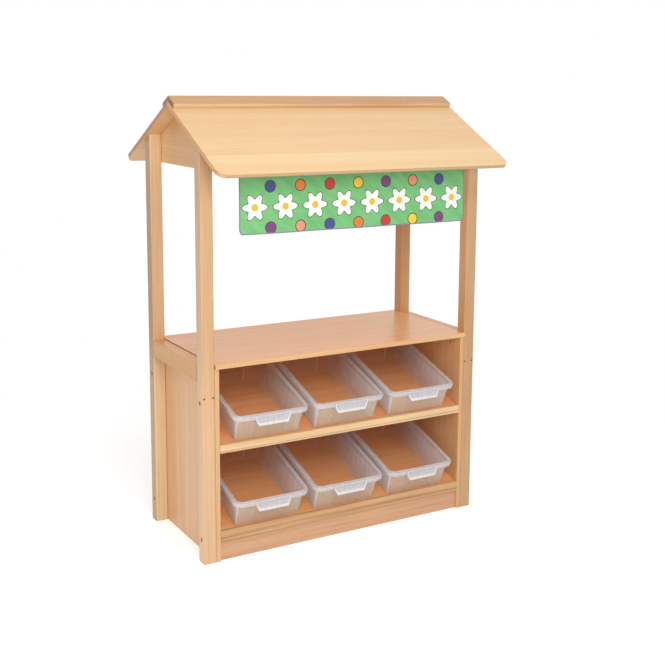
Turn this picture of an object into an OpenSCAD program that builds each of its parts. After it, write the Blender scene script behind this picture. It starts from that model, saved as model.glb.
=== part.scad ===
// Toy market stall: a cabinet with tilted trays under a gabled roof on four posts.
// The origin is on the floor under the middle. The front faces -Y and +Z is up.

/* [Posts and rails] */
// Width over the outer faces of the posts
stall_w = 1180; // [1120:5:1400]
// Depth over the front and rear faces of the posts
stall_d = 520; // [490:5:640]
// Side of a square post
post_w = 48; // [42:1:56]
// Rounding of a post's long edges
post_edge_r = 4; // [1:0.5:8]
// Height of an end rail
rail_h = 64; // [54:1:80]
// Drop of the rail's top below the counter's top
rail_drop = 3; // [0:0.5:8]

/* [Cabinet] */
// Height of the counter's top above the floor
counter_z = 735; // [725:1:800]
// Thickness of the cabinet boards
board_t = 18; // [16:1:22]
// Thickness of the back panel
back_t = 12; // [9:1:15]
// Rounding of a board's exposed edges
board_edge_r = 3; // [1:0.5:5]
// Overhang of the counter past the front posts
counter_over = 6; // [2:1:20]
// Joint between the counter's ends and the rails
counter_gap = 0.8; // [0.2:0.1:2]
// Set-back of the plinth behind the lips' front
plinth_set = 10; // [4:1:14]

/* [Shelves] */
// Top of the upper lip above the floor
upper_lip_z = 436; // [424:1:450]
// Top of the lower lip above the floor
lower_lip_z = 114; // [104:1:126]
// Height of the upper lip
upper_lip_h = 31; // [28:1:36]
// Height of the lower lip
lower_lip_h = 40; // [34:1:46]
// Height of a lip above the shelf behind it
lip_stand = 3.5; // [2:0.5:4.5]
// Slope of the shelves towards the front, in degrees
shelf_tilt = 17.5; // [15:0.5:18.5]

/* [Trays] */
// Space between a side panel and the rim of the tray next to it
tray_end_gap = 43; // [20:1:60]
// Length over the tray's rim
tray_l = 420; // [400:1:430]
// Height of a tray
tray_h = 115; // [104:1:124]
// Space between neighbouring trays
tray_gap = 22; // [10:1:26]
// Thickness of the tray's walls
wall_t = 2.4; // [1.8:0.1:3.2]
// Width of the rim's flange
rim_w = 13; // [11:0.5:16]
// Height of the rim's skirt
skirt_h = 14; // [10:1:18]
// Spread of a wall from base to rim
tray_draft = 10; // [7:0.5:12]
// Radius of the tray's upright corners at the base
tray_corner_r = 18; // [16:1:34]
// Radius of the edge round the base
tray_base_r = 14; // [13:0.5:18]
// Width of the handle at its top
handle_w = 132; // [110:1:150]
// Depth of the handle below the rim
handle_drop = 40; // [32:1:48]

/* [Roof] */
// Height of the roof boards' upper faces at the ridge
roof_z = 1647; // [1620:1:1760]
// Pitch of the roof, in degrees
roof_pitch = 27; // [24:0.5:30]
// Thickness of the roof boards
roof_t = 16; // [15:0.5:20]
// Overhang of the roof past the posts at each end
roof_over = 10; // [8:1:60]
// Distance of the eave from the ridge, level
eave_y = 447; // [420:1:480]
// Radius of the roof's lower corners
roof_corner_r = 38; // [20:1:60]
// Width of a ridge cap's upper face
cap_w = 62; // [45:1:90]
// Thickness of a ridge cap
cap_t = 18; // [14:1:22]
// Set-back of the cap from each roof end
cap_set = 4; // [0:1:12]
// Height of a gable panel under the ridge
gable_h = 214; // [190:1:240]
// Length of a cleat between gable and roof
cleat_l = 186; // [120:1:200]
// Side of a square cleat
cleat_w = 22; // [18:1:26]

/* [Sign] */
// Width of the hanging sheet
sign_w = 948; // [700:2:1000]
// Height of the hanging sheet
sign_h = 261; // [200:1:300]
// Distance of the sheet in front of the posts
sign_out = 66; // [50:1:90]
// Thickness of the sheet
sign_t = 1.2; // [0.8:0.1:2]
// Depth of the sheet's waves at its lower edge
sign_wave = 5; // [2:0.5:8]
// Number of waves across the sheet
sign_waves = 3; // [2:1:5]
// Radius of the sheet's lower corners
sign_corner_r = 16; // [6:1:30]

/* [Fasteners] */
// Diameter of a post bolt
bolt_d = 6; // [5:0.5:8]
// Diameter of a bolt's head
bolt_head_d = 13; // [11:0.5:15]
// Height of the lower post bolts above the floor
bolt_low_z = 88; // [80:1:110]
// Height of the upper post bolts above the floor
bolt_high_z = 596; // [580:1:610]
// Diameter of a wood screw
screw_d = 4; // [3:0.5:5]
// Diameter of a screw's head
screw_head_d = 8; // [7:0.5:9]
// Diameter of a dowel
dowel_d = 8; // [6:0.5:9]
// Diameter of the holes in the front posts' faces
face_hole_d = 5; // [4:0.5:7]
// Height of those holes above the floor
face_hole_z = 616; // [612:1:640]

/* [Hidden] */

// Extra length of every cut past the face it opens
overrun = 2;
// Room round a fastener in its hole
hole_gap = 0.2;
// Gap between a tray and its seat
seat_gap = 0.3;
// Facets of the exact rounds
round_fn = 48;

// Faces and spans of the frame
front_y = -stall_d / 2;
rear_y = stall_d / 2;
inner_w = stall_w - 2 * post_w;
bay_w = inner_w - 2 * board_t;
post_x = stall_w / 2 - post_w / 2;
post_y = stall_d / 2 - post_w / 2;
panel_x = inner_w / 2 - board_t / 2;
counter_under = counter_z - board_t;
panel_d = stall_d - back_t;
panel_y = -back_t / 2;
rail_l = stall_d - 2 * post_w;
rail_top = counter_z - rail_drop;

// Shelf line behind a lip
lip_y = front_y + board_t / 2;
shelf_front = front_y + board_t;
shelf_rear = rear_y - back_t;
shelf_rise = (shelf_rear - shelf_front) * tan(shelf_tilt);
shelf_drop = board_t / cos(shelf_tilt);
plinth_h = lower_lip_z - lower_lip_h;
plinth_y = front_y + plinth_set + board_t / 2;

// Roof line
roof_l = stall_w + 2 * roof_over;
roof_slope_l = eave_y / cos(roof_pitch);
roof_under = roof_z - roof_t / cos(roof_pitch);
roof_edge_r = roof_t / 4;
cap_edge_r = cap_t / 4;
mitre = tan(roof_pitch);
function under_roof(y) = roof_under - abs(y) * mitre;

// Gables and cleats
gable_x = inner_w / 2 - board_t;
gable_z = roof_under - gable_h;
gable_chamfer = board_t / 4;
cleat_start = cap_w;
cleat_x = gable_x - cleat_w;

// Sign and the batten that carries it
sign_y = front_y - sign_out;
batten_t = board_t;
batten_h = 2 * board_t;
batten_l = sign_w - 2 * board_t;
batten_y = sign_y + sign_t;
batten_z = under_roof(batten_y) - batten_h;
sign_head = board_t / 4;
sign_top = under_roof(sign_y) - sign_head;
sign_z = sign_top - sign_h;
sign_steps = 48;
sign_rows = 6;
pin_d = sign_t * 1.5;
pin_head_d = board_t / 2;
pin_head_h = sign_t * 2;
pin_l = batten_t * 0.7;
pin_z = sign_top - batten_h / 2;
pin_shares = [-0.44, -0.22, 0, 0.22, 0.44];

// Trays
tray_count = 3;
tray_w = (bay_w - 2 * tray_end_gap - (tray_count - 1) * tray_gap) / tray_count;
base_w = tray_w - 2 * rim_w - 2 * tray_draft;
base_l = tray_l - 2 * rim_w - 2 * tray_draft;
tray_pitch = tray_w + tray_gap;
tray_along = lip_stand * sin(shelf_tilt) + seat_gap + base_l / 2;
rim_r = wall_t * 0.6;
corner_steps = 6;
fillet_steps = 4;
handle_taper = handle_w / 16;
handle_frame = handle_drop / 8;
handle_proud = wall_t * 0.8;
rib_w = wall_t * 1.4;
rib_shares = [-0.27, 0.27];

// Bolts, screws and dowels
bolt_zs = [bolt_low_z, bolt_high_z];
bolt_head_h = bolt_d * 0.6;
bolt_sink = bolt_d;
bolt_key_d = bolt_d * 0.65;
bore_d = bolt_head_d + bolt_d / 2;
insert_d = bolt_d * 1.6;
insert_l = board_t * 0.7;
bolt_l = post_w - bolt_sink + insert_l * 0.9;
screw_head_h = (screw_head_d - screw_d) / 2;
rail_screw_l = board_t + post_w / 2;
rail_screw_y = rail_l / 2 - rail_h / 3;
rail_screw_z = rail_top - rail_h * 0.72;
gable_screw_l = board_t + post_w / 2;
gable_screw_shares = [0.25, 0.75];
gable_post_h = under_roof(rear_y) - gable_z;
cleat_screw_l = cleat_w + roof_t * 0.6;
cleat_up_shares = [0.15, 0.85];
cleat_side_shares = [0.35, 0.65];
back_screw_l = back_t + 2 * board_t;
back_screw_shares = [0.06, 0.35, 0.65, 0.94];
batten_screw_l = batten_h + roof_t * 0.5;
batten_screw_shares = [-0.4, -0.13, 0.13, 0.4];
dowel_l = dowel_d * 3.6;
counter_dowel_in = board_t * 0.65;
counter_dowel_shares = [-0.3, 0, 0.3];
side_dowel_in = board_t * 0.55;
shelf_dowel_shares = [0.18, 0.82];
face_hole_l = post_w / 3;
face_hole_span = post_w * 0.72;

// Rounded rectangle about the origin
module round_rect(w, h, r) {
    square([w - 2 * r, h], center = true);
    square([w, h - 2 * r], center = true);
    for (x = [-1, 1], y = [-1, 1])
        translate([x * (w / 2 - r), y * (h / 2 - r)]) circle(r, $fn = round_fn);
}

// A section drawn in Y and Z, drawn out along X about the middle
module along_x(length) {
    rotate([90, 0, 90]) linear_extrude(length, center = true) children();
}

// The slope of the front (-1) or rear (1) roof: -Y runs down it and Z stands off it
module on_slope(side) {
    mirror([0, side > 0 ? 1 : 0, 0])
        translate([0, 0, roof_z]) rotate([roof_pitch, 0, 0]) children();
}

// Countersunk screw with its head up at the origin, or its hole when it is grown
module screw(length, grow = 0) {
    translate([0, 0, -length - grow]) cylinder(d = screw_d + 2 * grow, h = length + grow, $fn = round_fn);
    translate([0, 0, -screw_head_h])
        cylinder(d1 = screw_d + 2 * grow, d2 = screw_head_d + 2 * grow, h = screw_head_h, $fn = round_fn);
    if (grow > 0) cylinder(d = screw_head_d + 2 * grow, h = overrun, $fn = round_fn);
}

// Dowel, or its hole, along Z from inset below the origin
module dowel(inset, grow = 0) {
    translate([0, 0, -inset - grow]) cylinder(d = dowel_d + 2 * grow, h = dowel_l + 2 * grow, $fn = round_fn);
}

// Places of the fasteners, for the fasteners themselves and for their holes
module at_post_bolts(sides, ends) {
    for (sx = sides, sy = ends, z = bolt_zs)
        translate([sx * stall_w / 2, sy * post_y, z]) rotate([0, sx * 90, 0]) children();
}

module at_rail_screws(sides) {
    for (sx = sides, sy = [-1, 1])
        translate([sx * bay_w / 2, sy * rail_screw_y, rail_screw_z]) rotate([0, -sx * 90, 0]) children();
}

module at_gable_screws(sides, ends) {
    for (sx = sides, sy = ends, share = gable_screw_shares)
        translate([sx * gable_x, sy * post_y, gable_z + share * gable_post_h])
            rotate([0, -sx * 90, 0]) children();
}

module at_cleat_roof_screws(sides, slope) {
    on_slope(slope) for (sx = sides, share = cleat_up_shares)
        translate([sx * (gable_x - cleat_w / 2), -cleat_start - share * cleat_l, -roof_t - cleat_w])
            rotate([180, 0, 0]) children();
}

module at_cleat_gable_screws(sides, slope) {
    on_slope(slope) for (sx = sides, share = cleat_side_shares)
        translate([sx * cleat_x, -cleat_start - share * cleat_l, -roof_t - cleat_w / 2])
            rotate([0, -sx * 90, 0]) children();
}

module at_back_screws(sides) {
    for (sx = sides, share = back_screw_shares)
        translate([sx * panel_x, rear_y, share * counter_under]) rotate([-90, 0, 0]) children();
}

module at_batten_screws() {
    for (share = batten_screw_shares)
        translate([share * batten_l, batten_y + batten_t / 2, batten_z]) rotate([180, 0, 0]) children();
}

module at_sign_pins() {
    for (share = pin_shares)
        translate([share * sign_w, sign_y, pin_z]) rotate([90, 0, 0]) children();
}

module at_counter_dowels(sides) {
    for (sx = sides, share = counter_dowel_shares)
        translate([sx * panel_x, panel_y + share * panel_d, counter_z - board_t + counter_dowel_in])
            rotate([180, 0, 0]) children();
}

module at_shelf_dowels(sides, lip_z) {
    for (sx = sides, share = shelf_dowel_shares)
        translate([sx * bay_w / 2, shelf_front + share * (shelf_rear - shelf_front),
            lip_z - lip_stand + share * shelf_rise - shelf_drop / 2])
            rotate([0, -sx * 90, 0]) children();
}

module at_lip_dowel(sides, y, z) {
    for (sx = sides) translate([sx * bay_w / 2, y, z]) rotate([0, -sx * 90, 0]) children();
}

// Everything above the roof's underside
module above_roof() {
    top = roof_z + overrun;
    along_x(stall_w + 2 * overrun)
        polygon([[-eave_y, under_roof(eave_y)], [0, roof_under], [eave_y, under_roof(eave_y)],
            [eave_y, top], [-eave_y, top]]);
}

// Post bolt's hole: a counterbore in the outer face and a clear hole behind it
module bolt_hole() {
    translate([0, 0, -bolt_sink]) cylinder(d = bore_d, h = bolt_sink + overrun, $fn = round_fn);
    translate([0, 0, -post_w - overrun])
        cylinder(d = bolt_d + 2 * hole_gap, h = post_w + overrun, $fn = round_fn);
}

module post(sx, sy) {
    color("burlywood") difference() {
        translate([sx * post_x, sy * post_y, 0])
            linear_extrude(roof_z) round_rect(post_w, post_w, post_edge_r);
        above_roof();
        at_post_bolts([sx], [sy]) bolt_hole();
        at_gable_screws([sx], [sy]) screw(gable_screw_l, hole_gap);
        if (sy < 0) for (side = [-1, 1])
            translate([sx * post_x + side * face_hole_span / 2, front_y - overrun, face_hole_z])
                rotate([-90, 0, 0]) cylinder(d = face_hole_d, h = face_hole_l + overrun, $fn = round_fn);
    }
}

module end_rail(sx) {
    color("burlywood") difference() {
        translate([sx * post_x, 0, rail_top - rail_h / 2]) rotate([90, 0, 0])
            linear_extrude(rail_l, center = true) round_rect(post_w, rail_h, board_edge_r);
        at_rail_screws([sx]) screw(rail_screw_l, hole_gap);
    }
}

module side_panel(sx) {
    color("tan") difference() {
        translate([sx * panel_x, panel_y, 0])
            linear_extrude(counter_under) round_rect(board_t, panel_d, board_edge_r);
        at_post_bolts([sx], [-1, 1]) translate([0, 0, -post_w - insert_l - hole_gap])
            cylinder(d = insert_d + 2 * hole_gap, h = insert_l + hole_gap + overrun, $fn = round_fn);
        at_rail_screws([sx]) screw(rail_screw_l, hole_gap);
        at_back_screws([sx]) screw(back_screw_l, hole_gap);
        at_counter_dowels([sx]) dowel(0, hole_gap);
        for (lip_z = [upper_lip_z, lower_lip_z])
            at_shelf_dowels([sx], lip_z) dowel(side_dowel_in, hole_gap);
        at_lip_dowel([sx], lip_y, upper_lip_z - upper_lip_h / 2) dowel(side_dowel_in, hole_gap);
        at_lip_dowel([sx], lip_y, lower_lip_z - lower_lip_h / 2) dowel(side_dowel_in, hole_gap);
        at_lip_dowel([sx], plinth_y, plinth_h / 2) dowel(side_dowel_in, hole_gap);
    }
}

module countertop() {
    color("burlywood") difference() {
        along_x(inner_w - 2 * counter_gap) translate([-counter_over / 2, counter_z - board_t / 2])
            round_rect(stall_d + counter_over, board_t, board_edge_r);
        at_counter_dowels([-1, 1]) dowel(0, hole_gap);
    }
}

// Shelf board with upright ends between the lip and the back panel
module shelf(lip_z) {
    front = lip_z - lip_stand;
    rear = front + shelf_rise;
    color("sienna") difference() {
        along_x(bay_w) polygon([[shelf_front, front], [shelf_front, front - shelf_drop],
            [shelf_rear, rear - shelf_drop], [shelf_rear, rear]]);
        at_shelf_dowels([-1, 1], lip_z) dowel(side_dowel_in, hole_gap);
    }
}

module shelf_lip(lip_z, lip_h) {
    color("wheat") difference() {
        along_x(bay_w) translate([lip_y, lip_z - lip_h / 2]) round_rect(board_t, lip_h, board_edge_r);
        at_lip_dowel([-1, 1], lip_y, lip_z - lip_h / 2) dowel(side_dowel_in, hole_gap);
    }
}

module front_plinth() {
    color("burlywood") difference() {
        along_x(bay_w) translate([plinth_y, plinth_h / 2]) square([board_t, plinth_h], center = true);
        at_lip_dowel([-1, 1], plinth_y, plinth_h / 2) dowel(side_dowel_in, hole_gap);
    }
}

module back_panel() {
    color("tan") difference() {
        along_x(inner_w) translate([rear_y - back_t, 0]) square([back_t, counter_under]);
        at_back_screws([-1, 1]) screw(back_screw_l, hole_gap);
    }
}

// Five-sided board under the roof, with a chamfer along its sloping outer edges
module gable(sx) {
    color("tan") difference() {
        translate([sx * (gable_x + board_t / 2), 0, 0]) along_x(board_t)
            polygon([[front_y, gable_z], [rear_y, gable_z], [rear_y, under_roof(rear_y)],
                [0, roof_under], [front_y, under_roof(front_y)]]);
        for (slope = [-1, 1]) on_slope(slope)
            translate([sx * inner_w / 2, -eave_y / 2, -roof_t]) rotate([0, 45, 0])
                cube([gable_chamfer, 2 * eave_y, gable_chamfer], center = true);
        at_gable_screws([sx], [-1, 1]) screw(gable_screw_l, hole_gap);
        for (slope = [-1, 1]) at_cleat_gable_screws([sx], slope) screw(cleat_screw_l, hole_gap);
    }
}

// Section of a roof board: mitred at the ridge and rounded along the eave
module roof_section() {
    low = -roof_slope_l + roof_edge_r;
    lap = low + 2 * roof_edge_r;
    polygon([[0, 0], [lap, 0], [lap, -roof_t], [-roof_t * mitre, -roof_t]]);
    translate([lap, -roof_t / 2]) round_rect(6 * roof_edge_r, roof_t, roof_edge_r);
}

// What the rounding of a roof board's lower corner takes away
module roof_corner(side) {
    translate([side * (roof_l / 2 - roof_corner_r), roof_corner_r - roof_slope_l, -roof_t - overrun])
        linear_extrude(roof_t + 2 * overrun) difference() {
            translate([side > 0 ? 0 : -roof_corner_r - overrun, -roof_corner_r - overrun])
                square(roof_corner_r + overrun);
            circle(roof_corner_r, $fn = round_fn);
        }
}

module roof_panel(slope) {
    color("moccasin") difference() {
        on_slope(slope) along_x(roof_l) roof_section();
        on_slope(slope) for (side = [-1, 1]) roof_corner(side);
        at_cleat_roof_screws([-1, 1], slope) screw(cleat_screw_l, hole_gap);
        if (slope < 0) at_batten_screws() screw(batten_screw_l, hole_gap);
    }
}

// Board along the ridge on top of a roof board, mitred to its neighbour
module ridge_cap(slope) {
    low = cap_t * mitre - cap_w;
    color("peru") on_slope(slope) along_x(roof_l - 2 * cap_set) union() {
        polygon([[0, 0], [cap_t * mitre, cap_t], [low + cap_edge_r, cap_t], [low + cap_edge_r, 0]]);
        translate([low, 0]) square([2 * cap_edge_r, cap_t - cap_edge_r]);
        translate([low + cap_edge_r, cap_t - cap_edge_r]) circle(cap_edge_r, $fn = round_fn);
    }
}

module cleat(sx, slope) {
    color("burlywood") difference() {
        on_slope(slope) translate([sx * (gable_x - cleat_w / 2), -cleat_start - cleat_l / 2, -roof_t - cleat_w / 2])
            cube([cleat_w, cleat_l, cleat_w], center = true);
        at_cleat_roof_screws([sx], slope) screw(cleat_screw_l, hole_gap);
        at_cleat_gable_screws([sx], slope) screw(cleat_screw_l, hole_gap);
    }
}

module sign_batten() {
    color("burlywood") difference() {
        along_x(batten_l) polygon([[batten_y, batten_z], [batten_y, under_roof(batten_y)],
            [batten_y + batten_t, under_roof(batten_y + batten_t)], [batten_y + batten_t, batten_z]]);
        at_batten_screws() screw(batten_screw_l, hole_gap);
        at_sign_pins() translate([0, 0, -sign_t - pin_l])
            cylinder(d = pin_d + 2 * hole_gap, h = pin_l + sign_t, $fn = round_fn);
    }
}

// Forward swing of the hanging sheet: flat under the pins, waved towards its lower edge
function sign_swing(across, down) = -sign_wave * pow(down, 2) * (1 - cos(360 * sign_waves * across)) / 2;

// Lower edge of the sheet above its lowest point, where the corners are rounded
function sign_lift(x) =
    let (past = max(0, abs(x) - (sign_w / 2 - sign_corner_r)))
    sign_corner_r - sqrt(max(0, pow(sign_corner_r, 2) - pow(past, 2)));

// Columns of the sheet are closer together near its ends
function sign_x(i) = -sign_w / 2 * cos(180 * i / sign_steps);

function sign_point(i, j, back) =
    let (x = sign_x(i), down = max(0, 1 - j / (sign_rows - 1)), low = sign_z + sign_lift(x))
    [x, sign_y + sign_swing(x / sign_w + 1 / 2, down) + back * sign_t, low + (sign_top - low) * j / sign_rows];

module sign_sheet() {
    side = (sign_steps + 1) * (sign_rows + 1);
    row = sign_rows + 1;
    points = [for (back = [0, 1], i = [0 : sign_steps], j = [0 : sign_rows]) sign_point(i, j, back)];
    cells = [for (i = [0 : sign_steps - 1], j = [0 : sign_rows - 1]) i * row + j];
    front = [for (c = cells) each [[c, c + 1, c + row], [c + 1, c + row + 1, c + row]]];
    back = [for (f = front) [f[2] + side, f[1] + side, f[0] + side]];
    foot = [for (i = [0 : sign_steps - 1]) let (a = i * row, b = a + row)
        each [[a, b, a + side], [b, b + side, a + side]]];
    head = [for (i = [0 : sign_steps - 1]) let (a = i * row + sign_rows, b = a + row)
        each [[b, a, a + side], [b, a + side, b + side]]];
    left = [for (j = [0 : sign_rows - 1]) each [[j + 1, j, j + side], [j + 1, j + side, j + 1 + side]]];
    right = [for (j = [0 : sign_rows - 1]) let (a = sign_steps * row + j)
        each [[a, a + 1, a + side], [a + 1, a + 1 + side, a + side]]];
    color("mediumseagreen") difference() {
        polyhedron(points, concat(front, back, foot, head, left, right));
        at_sign_pins() translate([0, 0, -sign_t - overrun])
            cylinder(d = pin_d + 2 * hole_gap, h = sign_t + 2 * overrun, $fn = round_fn);
    }
}

module sign_pins() {
    color("silver") at_sign_pins() {
        translate([0, 0, -sign_t - pin_l + hole_gap]) cylinder(d = pin_d, h = pin_l + sign_t, $fn = round_fn);
        cylinder(d1 = pin_head_d, d2 = pin_head_d / 2, h = pin_head_h, $fn = round_fn);
    }
}

module post_bolts() {
    color("dimgray") at_post_bolts([-1, 1], [-1, 1]) difference() {
        union() {
            translate([0, 0, -bolt_sink]) cylinder(d = bolt_head_d, h = bolt_head_h, $fn = round_fn);
            translate([0, 0, -bolt_sink - bolt_l]) cylinder(d = bolt_d, h = bolt_l, $fn = round_fn);
        }
        translate([0, 0, -bolt_sink + bolt_head_h / 2]) cylinder(d = bolt_key_d, h = bolt_head_h, $fn = 6);
    }
}

module post_inserts() {
    color("silver") at_post_bolts([-1, 1], [-1, 1]) difference() {
        translate([0, 0, -post_w - insert_l]) cylinder(d = insert_d, h = insert_l, $fn = round_fn);
        translate([0, 0, -post_w - insert_l - overrun])
            cylinder(d = bolt_d + 2 * hole_gap, h = insert_l + 2 * overrun, $fn = round_fn);
    }
}

module rail_screws() {
    color("dimgray") at_rail_screws([-1, 1]) screw(rail_screw_l);
}

module gable_screws() {
    color("silver") at_gable_screws([-1, 1], [-1, 1]) screw(gable_screw_l);
}

module cleat_screws() {
    color("silver") for (slope = [-1, 1]) {
        at_cleat_roof_screws([-1, 1], slope) screw(cleat_screw_l);
        at_cleat_gable_screws([-1, 1], slope) screw(cleat_screw_l);
    }
}

module back_screws() {
    color("silver") at_back_screws([-1, 1]) screw(back_screw_l);
}

module batten_screws() {
    color("silver") at_batten_screws() screw(batten_screw_l);
}

module counter_dowels() {
    color("wheat") at_counter_dowels([-1, 1]) dowel(0);
}

module shelf_dowels() {
    color("wheat") for (lip_z = [upper_lip_z, lower_lip_z]) at_shelf_dowels([-1, 1], lip_z) dowel(side_dowel_in);
}

module lip_dowels() {
    color("wheat") {
        at_lip_dowel([-1, 1], lip_y, upper_lip_z - upper_lip_h / 2) dowel(side_dowel_in);
        at_lip_dowel([-1, 1], lip_y, lower_lip_z - lower_lip_h / 2) dowel(side_dowel_in);
        at_lip_dowel([-1, 1], plinth_y, plinth_h / 2) dowel(side_dowel_in);
    }
}

// One level outline of the tray, spread out from its base by out
function tray_ring(out, z) = let (a = base_w / 2 + out, b = base_l / 2 + out, r = tray_corner_r + out)
    [for (q = [0 : 3], i = [0 : corner_steps])
        let (turn = 90 * (q + i / corner_steps), sx = q == 0 || q == 3 ? 1 : -1, sy = q < 2 ? 1 : -1)
        [sx * (a - r) + r * cos(turn), sy * (b - r) + r * sin(turn), z]];

// Skin through rings of equal length, closed by its first and last ring
module loft(rings) {
    n = len(rings[0]);
    last = len(rings) - 1;
    points = [for (ring = rings) each ring];
    skin = [for (k = [0 : last - 1], i = [0 : n - 1])
        let (a = k * n + i, b = k * n + (i + 1) % n)
        each [[a, a + n, b], [b, a + n, b + n]]];
    floor = [for (i = [0 : n - 1]) i];
    lid = [for (i = [n - 1 : -1 : 0]) last * n + i];
    polyhedron(points, concat([floor], skin, [lid]));
}

// Moulded shell: up the outside, round the flange and its skirt, and down the inside
module tray_shell() {
    inner_r = tray_base_r - wall_t;
    edge = tray_draft + rim_w;
    outside = [for (i = [0 : fillet_steps]) let (turn = 90 * i / fillet_steps)
        tray_ring(tray_base_r * (sin(turn) - 1), tray_base_r * (1 - cos(turn)))];
    rim = [tray_ring(tray_draft, tray_h - wall_t), tray_ring(edge - wall_t, tray_h - wall_t),
        tray_ring(edge - wall_t, tray_h - skirt_h), tray_ring(edge, tray_h - skirt_h),
        tray_ring(edge, tray_h - rim_r), tray_ring(edge - rim_r, tray_h),
        tray_ring(tray_draft - wall_t, tray_h)];
    inside = [for (i = [fillet_steps : -1 : 0]) let (turn = 90 * i / fillet_steps)
        tray_ring(inner_r * sin(turn) - tray_base_r, tray_base_r - inner_r * cos(turn))];
    loft(concat(outside, rim, inside));
}

// Drop front of the rim: a tapering plate with a raised edge round a recess
module tray_handle() {
    half = handle_w / 2;
    foot = half - handle_taper;
    top = tray_h - rim_r;
    low = tray_h - handle_drop;
    front = tray_l / 2 + handle_proud;
    translate([0, -front, 0]) rotate([90, 0, 0]) mirror([0, 0, 1]) difference() {
        linear_extrude(handle_proud + wall_t / 2) polygon([[-half, top], [half, top], [half, top - skirt_h],
            [foot, low], [-foot, low], [-half, top - skirt_h]]);
        translate([0, 0, -overrun]) linear_extrude(handle_proud + overrun)
            polygon([[-half + handle_frame, top + overrun], [half - handle_frame, top + overrun],
                [half - handle_frame, top - skirt_h], [foot - handle_frame, low + handle_frame],
                [handle_frame - foot, low + handle_frame], [-half + handle_frame, top - skirt_h]]);
    }
}

// Upright ribs on the front and rear walls, from the base's round to the skirt
module tray_ribs() {
    lean = atan(tray_draft / (tray_h - wall_t - tray_base_r));
    rib_l = tray_h - skirt_h - 2 * tray_base_r;
    for (end = [0, 180], share = rib_shares) rotate([0, 0, end])
        translate([share * base_w, -base_l / 2, tray_base_r]) rotate([lean, 0, 0])
            translate([-rib_w / 2, -rib_w / 2, tray_base_r / 2]) cube([rib_w, rib_w, rib_l]);
}

module tray(lip_z, column) {
    color("whitesmoke", 0.6)
        translate([column * tray_pitch, shelf_front, lip_z - lip_stand]) rotate([shelf_tilt, 0, 0])
            translate([0, tray_along, seat_gap]) {
                tray_shell();
                tray_handle();
                tray_ribs();
            }
}

post(-1, -1);  // front_left_post
post(1, -1);  // front_right_post
post(-1, 1);  // rear_left_post
post(1, 1);  // rear_right_post
end_rail(-1);  // left_end_rail
end_rail(1);  // right_end_rail
side_panel(-1);  // left_side_panel
side_panel(1);  // right_side_panel
countertop();
shelf(upper_lip_z);  // upper_shelf
shelf(lower_lip_z);  // lower_shelf
shelf_lip(upper_lip_z, upper_lip_h);  // upper_shelf_lip
shelf_lip(lower_lip_z, lower_lip_h);  // lower_shelf_lip
front_plinth();
back_panel();
gable(-1);  // left_gable
gable(1);  // right_gable
roof_panel(-1);  // front_roof_panel
roof_panel(1);  // rear_roof_panel
ridge_cap(-1);  // front_ridge_cap
ridge_cap(1);  // rear_ridge_cap
cleat(-1, -1);  // left_front_cleat
cleat(-1, 1);  // left_rear_cleat
cleat(1, -1);  // right_front_cleat
cleat(1, 1);  // right_rear_cleat
sign_batten();
sign_sheet();
sign_pins();
post_bolts();
post_inserts();
rail_screws();
gable_screws();
cleat_screws();
back_screws();
batten_screws();
counter_dowels();
shelf_dowels();
lip_dowels();
tray(upper_lip_z, -1);  // upper_left_tray
tray(upper_lip_z, 0);  // upper_middle_tray
tray(upper_lip_z, 1);  // upper_right_tray
tray(lower_lip_z, -1);  // lower_left_tray
tray(lower_lip_z, 0);  // lower_middle_tray
tray(lower_lip_z, 1);  // lower_right_tray
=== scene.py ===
import math

import bpy
from mathutils import Matrix, Vector


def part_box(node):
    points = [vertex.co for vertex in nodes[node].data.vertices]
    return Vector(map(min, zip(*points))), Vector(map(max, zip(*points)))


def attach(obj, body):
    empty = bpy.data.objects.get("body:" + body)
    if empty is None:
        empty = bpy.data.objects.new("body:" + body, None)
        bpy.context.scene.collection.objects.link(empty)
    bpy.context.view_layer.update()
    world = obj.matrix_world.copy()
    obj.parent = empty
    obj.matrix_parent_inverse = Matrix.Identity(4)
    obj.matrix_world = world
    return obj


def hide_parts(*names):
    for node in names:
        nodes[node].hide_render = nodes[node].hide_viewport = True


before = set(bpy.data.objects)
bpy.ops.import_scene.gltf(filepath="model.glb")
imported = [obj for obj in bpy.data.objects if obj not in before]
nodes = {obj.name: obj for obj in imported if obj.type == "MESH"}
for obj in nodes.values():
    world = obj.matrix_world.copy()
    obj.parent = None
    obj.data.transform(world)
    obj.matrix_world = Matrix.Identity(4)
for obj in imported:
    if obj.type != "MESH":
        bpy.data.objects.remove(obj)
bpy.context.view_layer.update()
bpy.ops.object.select_all(action="DESELECT")
print("frame loaded,", len(nodes), "CAD nodes")

roofTilt = math.radians(27.0)
shelfTilt = math.radians(17.5)
noiseSpan = (0.3, 0.7)  # most of a noise lies between these
facingSpan = (0.6, 0.9)  # from a slanting face to one that looks along the axis


# Small helpers for node trees
def newMaterial(name):
    material = bpy.data.materials.new(name)
    material.use_nodes = True
    tree = material.node_tree
    return material, tree, tree.nodes["Principled BSDF"]


def addNode(tree, kind, inputs=None, **settings):
    node = tree.nodes.new(kind)
    for key, value in settings.items():
        setattr(node, key, value)
    for key, value in (inputs or {}).items():
        if isinstance(value, bpy.types.NodeSocket):
            tree.links.new(value, node.inputs[key])
        else:
            node.inputs[key].default_value = value
    return node


def math2(tree, operation, first, second=0.0):
    return addNode(tree, "ShaderNodeMath", {0: first, 1: second}, operation=operation).outputs[0]


def lengthOf(tree, first, second):
    squares = [math2(tree, "POWER", side, 2.0) for side in (first, second)]
    return math2(tree, "SQRT", math2(tree, "ADD", *squares))


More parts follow.
